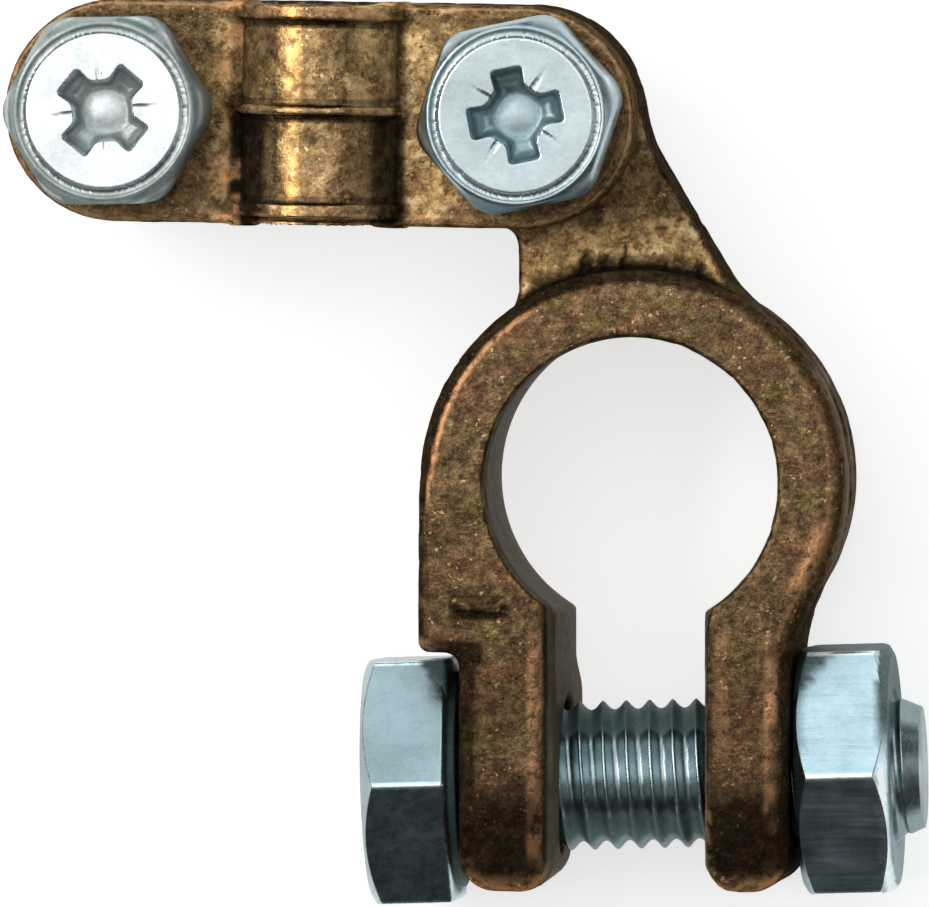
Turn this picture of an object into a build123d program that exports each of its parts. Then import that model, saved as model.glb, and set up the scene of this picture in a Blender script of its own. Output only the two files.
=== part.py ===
from build123d import *
import math
import os

# Battery terminal clamp, millimetres, +Z up.
# Origin: on the post bore's axis, in the plane of the clamp's bottom face.
# +Y runs from the clamping lugs towards the cable saddle, +X towards the nut.

# ---- driving dimensions --------------------------------------------------
H = 15.0                    # height of the ring and of the two lugs

RING_CX = 0.10              # centre of the ring's outer wall, off the bore axis
RING_R_TOP = 11.60          # outer wall at the top edge
RING_R_BOT = 10.95          # outer wall at the bottom edge, after draft

BORE_R_TOP = 7.75           # post bore, narrow end (top)
BORE_R_BOT = 8.15           # post bore, wide end (bottom)

GAP_X0, GAP_X1 = -4.10, 3.87     # the two inner faces of the lugs
LUG_L_X = -9.35             # outer face of the left lug, under the bolt head
LUG_R_X = 8.45              # outer face of the right lug, under the nut
LUG_END_Y = -21.85          # free end of both lugs
LUG_END_R = 1.9             # rounded corners of the lug ends
SHOULDER_Y = -8.95          # shoulder that keeps the bolt head from turning
SHOULDER_R, SHOULDER_IN_R = 0.7, 0.6

MARK_X, MARK_Y, MARK_L, MARK_W, MARK_T = -8.13, -6.55, 2.9, 0.85, 0.28   # raised minus bar

SADDLE_X, SADDLE_Y = -16.725, 19.70  # middle of the cable saddle
SADDLE_TURN = -1.0          # the saddle's long side lies at this angle to X, degrees
SADDLE_L, SADDLE_W = 33.80, 11.95
SADDLE_Z0, SADDLE_Z1 = 5.0, 11.0     # saddle base and arm, bottom and top
CABLE_Z, CABLE_R = 12.6, 3.3         # cable groove: height of its axis, radius
ARM_LEFT_X = -6.45
ARM_RIGHT = ((4.60, 11.40), (-0.30, 19.70))   # right edge of the arm
ARM_FILLET = 0.9

CAP_L, CAP_W = 33.86, 12.05
CAP_Z0, CAP_Z1 = 11.1, 14.3  # the cap stands a hair above the base
ARCH_DX = -0.07             # the arch, off the saddle's middle
ARCH_R = 4.55               # outside of the cap's arch
RIB_R = 5.00                # outside of the three ribs across the arch
RIBS = ((-5.60, -4.65), (-0.10, 0.55), (4.95, 5.95))   # extents across the cap
CAP_EDGE_R = 0.45

SCREW_L = (-27.90, 19.93)   # cap screw positions
SCREW_R = (-5.86, 19.73)
SCREW_SHANK_R = 2.97        # M6
SCREW_LEN = 10.0
SCREW_AF, SCREW_HEAD_H = 10.0, 4.0
SCREW_FACE_R = 4.15         # flat disc on top of the head
THREADED_R = 3.02           # plain wall standing for the M6 thread in the base
CAP_HOLE_R = 3.30
SCREW_TURN_L, SCREW_TURN_R = 0.0, 9.0      # how far each hex is turned
RECESS_TURN_L, RECESS_TURN_R = 51.0, 12.0  # how far each cross recess is turned
RECESS_SPAN, RECESS_ARM, RECESS_DEPTH = 4.95, 1.50, 2.0

BOLT_SKEW = 1.70            # the bolt lies at this angle to X in its clearance holes
BOLT_Y0, BOLT_Z = -15.75, 7.6        # the bolt's axis at X = 0
BOLT_R = 3.975              # M8
BOLT_SEAT_X = -9.53         # under the head
BOLT_LEN = 24.7
BOLT_AF, BOLT_HEAD_H, BOLT_PAD_T, BOLT_PAD_R = 13.0, 5.05, 0.40, 5.80
BOLT_FACE_R = 6.2
BOLT_TIP_R = 3.2
LUG_HOLE_R = 4.30
NUT_SEAT_X = 8.64
NUT_AF, NUT_H = 13.0, 5.05
NUT_FACE_R = 6.2
NUT_TURN = 1.0
NUT_BORE_R = 4.02

EDGE_R = 0.65               # cast edge rounding, top rim
EDGE_R_LOW = 0.50           # cast edge rounding, bottom rim


# ---- helpers ---------------------------------------------------------------
def slab(points, z0, z1):
    return extrude(Pos(0, 0, z0) * make_face(Polyline(*points, close=True)), z1 - z0)


def stadium(length, width, z0, z1):
    return extrude(Pos(0, 0, z0) * SlotOverall(length, width), z1 - z0)


def frustum(r0, z0, r1, z1):
    return loft([Pos(0, 0, z0) * Circle(r0), Pos(0, 0, z1) * Circle(r1)])


def hex_prism(af, h, top_r=None, bot_r=None, slope=30.0):
    """Hexagonal prism from z = 0 to h, a corner along +X, its corners cut by a cone at either end."""
    body = extrude(RegularPolygon(af / 2, 6, major_radius=False), h)
    rc = af / 2 / math.cos(math.pi / 6) + 0.5
    t = math.tan(math.radians(slope))
    if top_r:
        d = (rc - top_r) * t
        body = body & (frustum(rc, h - d, top_r, h) + Pos(0, 0, (h - d) / 2) * Cylinder(rc, h - d))
    if bot_r:
        d = (rc - bot_r) * t
        body = body & (frustum(bot_r, 0, rc, d) + Pos(0, 0, (h + d) / 2) * Cylinder(rc, h - d))
    return body


def upright(shape, x, y, tol=0.35):
    return [e for e in shape.edges() if abs(e.tangent_at(0.5).Z) > 0.98 and e.length > 2
            and abs(e.center().X - x) < tol and abs(e.center().Y - y) < tol]


def round_edges(shape, edges, radii):
    """Fillet with the largest of the given radii that the shape takes."""
    for r in radii:
        try:
            out = fillet(edges, r)
            if out.is_valid and len(out.solids()) == 1:
                return out
        except Exception:
            pass
    raise ValueError("edge rounding failed")


SADDLE = Pos(SADDLE_X, SADDLE_Y, 0) * Rot(0, 0, SADDLE_TURN)


# ---- clamp body: ring, two lugs, arm and cable saddle, one casting ------------
def clamp_body():
    ring = Pos(RING_CX, 0, 0) * frustum(RING_R_BOT, 0, RING_R_TOP, H)

    # straight flank left of the ring, tangent to it at every height
    def flank(x, z):
        return Pos(0, 0, z) * make_face(Polyline((x, 0), (x, SHOULDER_Y), (-5.0, SHOULDER_Y), (-5.0, 0), close=True))
    left = loft([flank(RING_CX - RING_R_BOT, 0), flank(RING_CX - RING_R_TOP, H)], ruled=True)

    def lug(x0, x1, y1):
        f = Pos((x0 + x1) / 2, (LUG_END_Y + y1) / 2, 0) * Rectangle(x1 - x0, y1 - LUG_END_Y)
        f = fillet(f.vertices().sort_by(Axis.Y)[:2], LUG_END_R)
        return extrude(f, H)

    body = ring + left + lug(LUG_L_X, GAP_X0, -4.0) + lug(GAP_X1, LUG_R_X, -5.0)
    gap_h = -LUG_END_Y + 2
    body -= Pos((GAP_X0 + GAP_X1) / 2, -gap_h / 2, H / 2) * Box(GAP_X1 - GAP_X0, gap_h, H + 2)
    body = body.solids().sort_by(SortBy.VOLUME)[-1]

    # upright corners
    body = round_edges(body, upright(body, LUG_L_X, SHOULDER_Y), (SHOULDER_IN_R, 0.4))
    body = round_edges(body, upright(body, RING_CX - (RING_R_TOP + RING_R_BOT) / 2, SHOULDER_Y, 0.6), (SHOULDER_R, 0.5))
    neck = [e for e in body.edges() if abs(e.center().X - LUG_R_X) < 0.2 and -9.5 < e.center().Y < -6.0
            and e.bounding_box().size.Z > H - 1]
    if neck:
        try:
            body = round_edges(body, neck, (1.0, 0.6))
        except ValueError:
            pass

    # top and bottom rims
    for z, radii in ((H, (EDGE_R, 0.6, 0.5)), (0, (EDGE_R_LOW, 0.4, 0.3))):
        rim = [e for e in body.edges() if abs(e.center().Z - z) < 1e-3 and e.bounding_box().size.Z < 1e-3]
        body = round_edges(body, rim, radii)

    # tapered post bore, wide end down
    k = (BORE_R_BOT - BORE_R_TOP) / H
    body -= frustum(BORE_R_BOT + k, -1, BORE_R_TOP - k, H + 1)
    body = body.solids().sort_by(SortBy.VOLUME)[-1]

    # saddle base and arm
    base = SADDLE * stadium(SADDLE_L, SADDLE_W, SADDLE_Z0, SADDLE_Z1)
    arm = slab([(ARM_LEFT_X, SADDLE_Y), (ARM_LEFT_X, 8.4), (0, 9.3), (5.4, 9.4), *ARM_RIGHT], SADDLE_Z0, SADDLE_Z1)
    carrier = base + arm
    inner = upright(carrier, ARM_LEFT_X, SADDLE_Y - SADDLE_W / 2, 0.4)
    if inner:
        carrier = round_edges(carrier, inner, (ARM_FILLET, 0.5))
    lower = [e for e in carrier.edges() if abs(e.center().Z - SADDLE_Z0) < 1e-3 and e.center().Y > 12.5]
    carrier = round_edges(carrier, lower, (0.5, 0.3))
    core = Pos(RING_CX, 0, H / 2) * Cylinder(RING_R_BOT - 1.2, H)
    body = body + (carrier - core)

    # raised minus bar, the mark of the negative terminal
    body += Pos(MARK_X, MARK_Y, H + MARK_T / 2 - 0.2) * Box(MARK_L, MARK_W, MARK_T + 0.4)

    # bolt holes, screw holes, cable groove
    def on_axis(x):
        return BOLT_Y0 + x * math.tan(math.radians(BOLT_SKEW))
    for x0, x1 in ((LUG_L_X, GAP_X0), (GAP_X1, LUG_R_X)):
        xm = (x0 + x1) / 2
        body -= Pos(xm, on_axis(xm), BOLT_Z) * Rot(0, 0, BOLT_SKEW) * Rot(0, 90, 0) * Cylinder(LUG_HOLE_R, x1 - x0 + 3)
    for x, y in (SCREW_L, SCREW_R):
        body -= Pos(x, y, 9) * Cylinder(THREADED_R, 12)
    body -= SADDLE * Pos(ARCH_DX, 0, CABLE_Z) * Rot(90, 0, 0) * Cylinder(CABLE_R, SADDLE_W + 4)
    return body


# ---- cable cap -----------------------------------------------------------------
def cable_cap():
    cap = stadium(CAP_L, CAP_W, CAP_Z0, CAP_Z1)
    top = [e for e in cap.edges() if abs(e.center().Z - CAP_Z1) < 1e-3]
    cap = fillet(top, CAP_EDGE_R)
    arch = Pos(ARCH_DX, 0, CABLE_Z) * Rot(90, 0, 0) * Cylinder(ARCH_R, CAP_W - 0.2)
    for y0, y1 in RIBS:
        arch += Pos(ARCH_DX, (y0 + y1) / 2, CABLE_Z) * Rot(90, 0, 0) * Cylinder(RIB_R, y1 - y0)
    arch = arch & (Pos(0, 0, CAP_Z0 + 1.0 + 5) * Box(20, 20, 10))
    cap = cap + arch
    cap -= Pos(ARCH_DX, 0, CABLE_Z) * Rot(90, 0, 0) * Cylinder(CABLE_R, CAP_W + 4)
    cap -= Pos(ARCH_DX, 0, (CAP_Z0 - 1 + CABLE_Z) / 2) * Box(2 * CABLE_R, CAP_W + 4, CABLE_Z - CAP_Z0 + 1)
    cap = SADDLE * cap
    for x, y in (SCREW_L, SCREW_R):
        cap -= Pos(x, y, CAP_Z1) * Cylinder(CAP_HOLE_R, 12)
    return cap


# ---- cap screws ------------------------------------------------------------------
def cap_screw(x, y, head_turn, recess_turn):
    head = hex_prism(SCREW_AF, SCREW_HEAD_H, top_r=SCREW_FACE_R)
    head = Rot(0, 0, head_turn) * head
    shank = Pos(0, 0, -SCREW_LEN / 2 + 0.5) * Cylinder(SCREW_SHANK_R, SCREW_LEN + 1.0)
    tip = shank.edges().sort_by(Axis.Z)[0]
    shank = chamfer(tip, 0.6)
    s = head + shank
    # cross recess with tapering wings
    arm = loft([Pos(0, 0, SCREW_HEAD_H + 0.01) * Rectangle(RECESS_SPAN, RECESS_ARM),
                Pos(0, 0, SCREW_HEAD_H - RECESS_DEPTH) * Rectangle(RECESS_SPAN * 0.55, RECESS_ARM * 0.72)], ruled=True)
    core = frustum(0.9, SCREW_HEAD_H - RECESS_DEPTH - 0.3, 1.45, SCREW_HEAD_H + 0.01)
    s -= Rot(0, 0, recess_turn) * (arm + Rot(0, 0, 90) * arm + core)
    return Pos(x, y, CAP_Z1) * s


# ---- clamp bolt and nut -------------------------------------------------------------
def on_bolt(shape):
    """Put a shape modelled along +Z onto the bolt's axis, pointing to the nut."""
    return Pos(0, BOLT_Y0, BOLT_Z) * Rot(0, 0, BOLT_SKEW) * Rot(0, 90, 0) * shape


def clamp_bolt():
    s0 = BOLT_SEAT_X / math.cos(math.radians(BOLT_SKEW))
    hexh = BOLT_HEAD_H - BOLT_PAD_T
    head = hex_prism(BOLT_AF, hexh, bot_r=BOLT_FACE_R)
    pad = Pos(0, 0, hexh + BOLT_PAD_T / 2 - 0.1) * Cylinder(BOLT_PAD_R, BOLT_PAD_T + 0.2)
    head = Pos(0, 0, s0 - BOLT_HEAD_H) * (head + pad)
    shank = Pos(0, 0, s0 + BOLT_LEN / 2 - 0.5) * Cylinder(BOLT_R, BOLT_LEN + 1.0)
    shank = chamfer(shank.edges().sort_by(Axis.Z)[-1], BOLT_R - BOLT_TIP_R)
    return on_bolt(head + shank)


def clamp_nut():
    s0 = NUT_SEAT_X / math.cos(math.radians(BOLT_SKEW))
    nut = Rot(0, 0, NUT_TURN) * hex_prism(NUT_AF, NUT_H, top_r=NUT_FACE_R, bot_r=NUT_FACE_R)
    nut -= Pos(0, 0, NUT_H / 2) * Cylinder(NUT_BORE_R, NUT_H + 2)
    return on_bolt(Pos(0, 0, s0) * nut)


parts = {
    "clamp_body": clamp_body(),
    "cable_cap": cable_cap(),
    "cap_screw_left": cap_screw(*SCREW_L, SCREW_TURN_L, RECESS_TURN_L),
    "cap_screw_right": cap_screw(*SCREW_R, SCREW_TURN_R, RECESS_TURN_R),
    "clamp_bolt": clamp_bolt(),
    "clamp_nut": clamp_nut(),
}

os.makedirs("parts", exist_ok=True)
for name, shape in parts.items():
    solids = shape.solids()
    if len(solids) != 1:
        raise ValueError(f"{name}: {len(solids)} solids")
    export_step(solids[0], f"parts/{name}.step")
    b = solids[0].bounding_box()
    print(name, round(solids[0].volume, 1), [round(v, 2) for v in (b.min.X, b.min.Y, b.min.Z, b.max.X, b.max.Y, b.max.Z)])
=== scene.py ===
import bpy, bmesh, math
import numpy as np
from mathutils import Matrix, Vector


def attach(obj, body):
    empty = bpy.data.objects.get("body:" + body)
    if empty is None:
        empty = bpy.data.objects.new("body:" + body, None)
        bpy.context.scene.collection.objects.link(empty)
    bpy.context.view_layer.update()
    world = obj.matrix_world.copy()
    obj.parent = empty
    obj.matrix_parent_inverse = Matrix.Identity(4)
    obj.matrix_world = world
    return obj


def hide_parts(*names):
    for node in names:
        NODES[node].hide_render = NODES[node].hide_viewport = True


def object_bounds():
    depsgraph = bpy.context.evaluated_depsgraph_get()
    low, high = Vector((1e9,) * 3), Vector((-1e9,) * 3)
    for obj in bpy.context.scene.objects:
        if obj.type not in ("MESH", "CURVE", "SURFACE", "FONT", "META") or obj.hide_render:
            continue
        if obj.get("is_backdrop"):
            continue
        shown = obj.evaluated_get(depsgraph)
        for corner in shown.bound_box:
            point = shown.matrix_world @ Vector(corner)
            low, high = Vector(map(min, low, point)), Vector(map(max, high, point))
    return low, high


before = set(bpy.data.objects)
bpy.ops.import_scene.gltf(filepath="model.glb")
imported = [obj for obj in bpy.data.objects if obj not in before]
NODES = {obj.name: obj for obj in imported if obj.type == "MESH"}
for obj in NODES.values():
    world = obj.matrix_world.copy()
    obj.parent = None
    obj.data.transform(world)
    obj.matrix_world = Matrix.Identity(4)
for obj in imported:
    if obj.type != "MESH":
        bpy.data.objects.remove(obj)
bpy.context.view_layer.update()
MM = 0.001
scene = bpy.context.scene

# ------------------------------------------------------------------ numbers (mm), as the CAD has them
H = 15.0
RING_CX, RING_R_TOP, RING_R_BOT = 0.10, 11.60, 10.95
BORE_R_TOP, BORE_R_BOT = 7.75, 8.15
GAP_X0, GAP_X1 = -4.10, 3.87
LUG_L_X, LUG_R_X, LUG_END_Y = -9.35, 8.45, -21.85
SHOULDER_Y = -8.95
SX, SY, S_TURN = -16.725, 19.70, math.radians(-1.0)
CABLE_Z, CABLE_R, ARCH_DX = 12.6, 3.3, -0.07
SCREW_L, SCREW_R = (-27.90, 19.93), (-5.86, 19.73)
CAP_Z0, CAP_Z1 = 11.1, 14.3
SKEW = math.radians(1.70)
BOLT_Y0, BOLT_Z = -15.75, 7.6
AX = np.array([math.cos(SKEW), math.sin(SKEW), 0.0])      # bolt axis, towards the nut
BY = np.array([-math.sin(SKEW), math.cos(SKEW), 0.0])
BZ = np.array([0.0, 0.0, 1.0])


# ------------------------------------------------------------------ seeded noise on points
def _hash(ix, iy, iz, seed):
    h = (ix * 374761393 + iy * 668265263 + iz * 1442695041 + seed * 1274126177) & 0xFFFFFFFF
    h = ((h ^ (h >> 13)) * 1274126177) & 0xFFFFFFFF
    h = ((h ^ (h >> 15)) * 2246822519) & 0xFFFFFFFF
    return ((h ^ (h >> 16)) & 0xFFFFFF) / float(0xFFFFFF)


def vnoise(p, scale, seed=0):
    q = p / scale + 517.37
    i = np.floor(q).astype(np.int64)
    f = q - i
    f = f * f * f * (f * (f * 6 - 15) + 10)
    out = np.zeros(len(p))
    for dx in (0, 1):
        wx = f[:, 0] if dx else 1 - f[:, 0]
        for dy in (0, 1):
            wy = f[:, 1] if dy else 1 - f[:, 1]
            for dz in (0, 1):
                wz = f[:, 2] if dz else 1 - f[:, 2]
                out += wx * wy * wz * _hash(i[:, 0] + dx, i[:, 1] + dy, i[:, 2] + dz, seed)
    return out


def fbm(p, scale, octaves=3, seed=0, gain=0.5):
    a, s, t = 1.0, 0.0, 0.0
    for k in range(octaves):
        s = s + a * vnoise(p, scale / 2 ** k, seed + 17 * k)
        t += a
        a *= gain
    return s / t


def sstep(x, a, b):
    t = np.clip((x - a) / (b - a), 0, 1)
    return t * t * (3 - 2 * t)


# ------------------------------------------------------------------ distance fields, mm
def smin(a, b, k):
    h = np.clip(0.5 + 0.5 * (b - a) / k, 0, 1)
    return b * (1 - h) + a * h - k * h * (1 - h)


def smax(a, b, k):
    return -smin(-a, -b, k)


def rmax(a, b, r):
    """Intersection with a round edge of radius r."""
    a, b = a + r, b + r
    return np.minimum(np.maximum(a, b), 0) + np.hypot(np.maximum(a, 0), np.maximum(b, 0)) - r


def box2(x, y, x0, x1, y0, y1, r):
    qx = np.abs(x - (x0 + x1) / 2) - (x1 - x0) / 2 + r
    qy = np.abs(y - (y0 + y1) / 2) - (y1 - y0) / 2 + r
    return np.minimum(np.maximum(qx, qy), 0) + np.hypot(np.maximum(qx, 0), np.maximum(qy, 0)) - r


def saddle_xy(p):
    c, s = math.cos(S_TURN), math.sin(S_TURN)
    dx, dy = p[:, 0] - SX, p[:, 1] - SY
    return c * dx + s * dy, -s * dx + c * dy


def capsule2(x, y, half, r):
    return np.hypot(np.maximum(np.abs(x) - half, 0), y) - r


def body_shape(p):
    x, y, z = p[:, 0], p[:, 1], p[:, 2]
    t = np.clip(z / H, 0, 1)
    R = RING_R_BOT + (RING_R_TOP - RING_R_BOT) * t
    # the two halves of the mould don't quite meet: a fine step half way up the outside
    step = 0.10 * sstep(z, 7.3, 7.55) * sstep(x, 3.0, 8.0)
    ring = np.hypot(x - RING_CX, y) - R + step
    xl = RING_CX - R
    qx = np.abs(x - (xl + 0.0) / 2) + xl / 2 + 0.7
    qy = np.abs(y + 3.98) - 5.13 + 0.7
    flank = np.minimum(np.maximum(qx, qy), 0) + np.hypot(np.maximum(qx, 0), np.maximum(qy, 0)) - 0.7
    lug_l = box2(x, y, LUG_L_X, GAP_X0 + 3.0, LUG_END_Y, -4.0, 2.1)
    lug_r = box2(x, y, GAP_X1 - 3.0, LUG_R_X, LUG_END_Y, -5.0, 2.1)
    out = np.minimum(ring, flank)
    out = smin(out, lug_l, 0.75)
    out = smin(out, lug_r, 1.6)
    gx0 = GAP_X0 + (0.34 * sstep(-y, 9.4, 11.6) * (1 - sstep(-y, 15.5, 19.5)) - 0.30 * sstep(-y, 17.5, 20.0)) * (1 - t)
    gap = np.maximum(np.maximum(x - GAP_X1, gx0 - x), y)
    out = rmax(out, -gap, 1.9)
    # the rounding along the top differs from side to side
    r_top = 1.50 - 0.65 * sstep(-x, 7.0, 9.0) * sstep(-y, -2.0, 2.0)
    low = sstep(-y, 6.0, 8.0)
    r_top += 0.35 * sstep(-x, 7.2, 8.2) * sstep(-y, 9.0, 9.8)
    r_top -= np.where(x < 0, 0.25 * sstep(x, -6.8, -5.8), 0.90 * (1 - sstep(x, 5.2, 6.4))) * low
    d = rmax(out, z - H, r_top)
    d = rmax(d, -z, 0.5)
    # arm and saddle base
    ax = np.maximum(-6.45 - x, 0.861 * (x - 4.6) + 0.508 * (y - 11.4))
    arm = np.maximum(np.maximum(ax, y - 19.7), 6.0 - y)
    sx, sy = saddle_xy(p)
    base = capsule2(sx, sy, 10.925, 5.975)
    car = smin(arm, base, 1.1)
    car = rmax(car, z - 11.0, 0.35)
    car = rmax(car, 5.0 - z, 0.5)
    d = smin(d, car, 0.9)
    # bore
    bore = np.hypot(x, y) - (BORE_R_BOT - (BORE_R_BOT - BORE_R_TOP) * t)
    d = rmax(d, -bore, 0.40 - 0.28 * sstep(-y, 5.3, 6.6))
    # raised minus bar
    ms, mc = math.sin(math.radians(-3)), math.cos(math.radians(-3))
    mx, my = x + 8.13, y + 6.55
    mx, my = mc * mx + ms * my, -ms * mx + mc * my
    m2 = box2(mx, my, -1.28, 1.28, -0.34, 0.34, 0.16)
    mark = rmax(m2, np.abs(z - 14.6) - 0.58, 0.16)
    d = smin(d, mark, 0.12)
    # holes
    px, py, pz = x, y - BOLT_Y0, z - BOLT_Z
    along = px * AX[0] + py * AX[1]
    across = -px * AX[1] + py * AX[0]
    hole = np.hypot(across, pz) - 4.08
    d = smax(d, -hole, 0.08)
    for hx, hy in (SCREW_L, SCREW_R):
        d = smax(d, -np.maximum(np.hypot(x - hx, y - hy) - 3.02, 12.0 - y), 0.2)
    groove = np.maximum(np.hypot(sx - ARCH_DX, z - CABLE_Z) - CABLE_R, 12.0 - y)
    d = smax(d, -groove, 0.25)
    return d


def cap_shape(p):
    z = p[:, 2]
    sx, sy = saddle_xy(p)
    plate = capsule2(sx, sy, 10.905, 6.0)
    lip = 0.10 * sstep(plate, -0.95, -0.55)          # a faint rim round the edge
    d = rmax(plate, z - (CAP_Z1 - 0.10 + lip), 0.38)
    d = rmax(d, CAP_Z0 - z, 0.15)
    ax = sx - ARCH_DX
    rad = np.hypot(ax, z - CABLE_Z)
    arch = np.maximum(np.maximum(rad - (4.50 + 0.04 * np.sin(sy * 0.9)), np.abs(sy) - 5.93), 12.1 - z)
    d = smin(d, arch, 0.55)
    for y0, y1 in ((-5.60, -4.65), (-0.10, 0.55), (4.95, 5.95)):
        rib = rmax(rad - 4.98, np.abs(sy - (y0 + y1) / 2) - (y1 - y0) / 2, 0.26)
        d = smin(d, np.maximum(rib, 12.1 - z), 0.14)
    groove = np.where(z > CABLE_Z, rad, np.abs(ax)) - CABLE_R
    d = smax(d, -groove, 0.25)
    for hx, hy in (SCREW_L, SCREW_R):
        d = smax(d, -(np.hypot(p[:, 0] - hx, p[:, 1] - hy) - 3.3), 0.25)
    return d


def screw_head_shape(p, cx, cy, hex_turn, rec_turn):
    z = p[:, 2] - CAP_Z1
    x, y = p[:, 0] - cx, p[:, 1] - cy
    r = np.hypot(x, y)

    def turned(a):
        c, s = math.cos(a), math.sin(a)
        return c * x + s * y, -s * x + c * y
    hx, hy = turned(math.radians(hex_turn))
    f1 = np.abs(hy)
    f2 = np.abs(hx * 0.8660254 + hy * 0.5)
    f3 = np.abs(hx * 0.8660254 - hy * 0.5)
    hexa = smax(smax(f1, f2, 0.9), f3, 0.9) - 4.97
    # round bead outside the disc, falling away to the corners
    o = np.maximum(r - 4.66, 0)
    i = np.maximum(4.66 - r, 0)
    bead = (z - (3.86 - 0.62 * o - 0.55 * o * o - 2.6 * i ** 1.5)) * 0.8
    disc = rmax(r - 4.15, z - 3.97, 0.10)
    d = smin(bead, disc, 0.06)
    d = rmax(hexa, d, 0.22)
    d = rmax(d, 0.03 - z, 0.12)
    # cross recess: wings that flare outward and deepen to the middle, a low dome at the bottom
    ux, uy = turned(math.radians(rec_turn))
    depth = np.clip(3.98 - z, -1, 3)
    cross = None
    for a, b in ((ux, uy), (uy, ux)):
        half = 0.66 + 0.075 * np.abs(a) - 0.13 * depth
        wing = rmax(np.abs(b) - half, np.abs(a) - (2.52 - 0.34 * depth), 0.22)
        floor = (3.98 - (1.75 - 0.30 * np.abs(a))) - z
        w = rmax(wing, floor * 0.95, 0.38)
        cross = w if cross is None else smin(cross, w, 0.40)
    core = rmax(r - (1.62 - 0.20 * depth), (3.98 - 1.62) - z, 0.40)
    cross = smin(cross, core, 0.30)
    d = smax(d, -cross, 0.10)
    dome = np.maximum((z - (2.36 + 0.24 * np.maximum(1 - (r / 1.40) ** 2, 0))) * 0.9, r - 1.40)
    d = smin(d, dome, 0.30)
    # four fine marks between the wings
    vx, vy = (ux + uy) * 0.70710678, (uy - ux) * 0.70710678
    for a, b in ((vx, vy), (vy, vx)):
        width = 0.17 * np.clip((3.20 - np.abs(a)) / 1.2, 0, 1)
        tick = np.maximum(np.maximum(np.abs(b) - width * np.clip(1 - depth / 0.6, 0, 1), np.abs(a) - 3.2), 0.7 * (depth - 0.5))
        d = smax(d, -tick * 0.9, 0.02)
    return d


def crack_lines(p, scale, width, seed):
    """Thin meandering lines, 1 in the line."""
    q = p.copy()
    q[:, 0] += 0.35 * scale * (vnoise(p, scale * 0.6, seed + 3) - 0.5)
    n = fbm(q, scale, 2, seed, 0.45)
    gate = sstep(vnoise(p, scale * 1.3, seed + 7), 0.42, 0.60)
    return (1 - sstep(np.abs(n - 0.5), 0.0, width)) * gate


def gold_zone(p):
    """Where the cast skin is coarse and bright: beside the arch, and on the arm by the ring."""
    sx, sy = saddle_xy(p)
    on_cap = sstep(p[:, 2], 11.0, 11.2) * sstep(p[:, 1], 12.5, 13.5)
    beside = np.where(sx > 0, sstep(sx, 4.0, 4.7) * (1 - 0.85 * sstep(sx, 6.0, 8.6)), sstep(-sx, 3.9, 4.4) * (1 - 0.90 * sstep(-sx, 4.9, 6.3)))
    r = np.hypot(p[:, 0], p[:, 1])
    arm = sstep(p[:, 1], 3.0, 7.0) * sstep(p[:, 2], 10.2, 10.8) * sstep(r, 11.4, 11.8) * (1 - sstep(r, 13.3, 15.5)) * (1 - on_cap)
    return np.maximum(beside * on_cap, arm)


def rough_cap(p):
    """Cast skin of the cap: lumpy beside the arch, smoother on it."""
    sx, sy = saddle_xy(p)
    top = sstep(p[:, 2], 13.3, 13.9)
    g = gold_zone(p) * top
    n = fbm(p, 1.15, 3, 5, 0.6)
    big = fbm(p, 2.6, 2, 9)
    fine = vnoise(p, 0.34, 31)
    crack = crack_lines(p, 1.5, 0.014, 12)
    on_arch = (1 - sstep(np.abs(sx - ARCH_DX), 3.9, 4.3)) * top
    return 0.015 + 0.03 * big + (0.06 + 0.07 * on_arch + 0.26 * g) * n + (0.015 + 0.06 * g) * fine + 0.12 * g * crack


def rough_body(p):
    """Cast skin of the body: fine all over, coarser on the arm."""
    x, y, z = p[:, 0], p[:, 1], p[:, 2]
    arm = sstep(y, 9.5, 12.0) * sstep(z, 10.2, 10.9)
    g = gold_zone(p)
    n = fbm(p, 1.3, 3, 3)
    big = fbm(p, 4.5, 2, 8)
    pit = sstep(fbm(p, 0.75, 2, 21), 0.60, 0.78)
    fine = vnoise(p, 0.55, 41)
    crack = crack_lines(p, 1.5, 0.026, 61)
    inner = np.maximum(sstep(9.6 - np.hypot(x, y), 0.0, 0.6), ((x > GAP_X0 - 0.9) & (x < GAP_X1 + 0.9) & (y < -6.0)))
    inner = inner * (1 - sstep(z, 13.2, 14.2))
    return 0.015 + (0.05 * big + (0.05 + 0.10 * arm + 0.08 * g) * n + 0.05 * pit + 0.03 * fine + 0.22 * g * crack) * (1 - 0.92 * inner)


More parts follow.
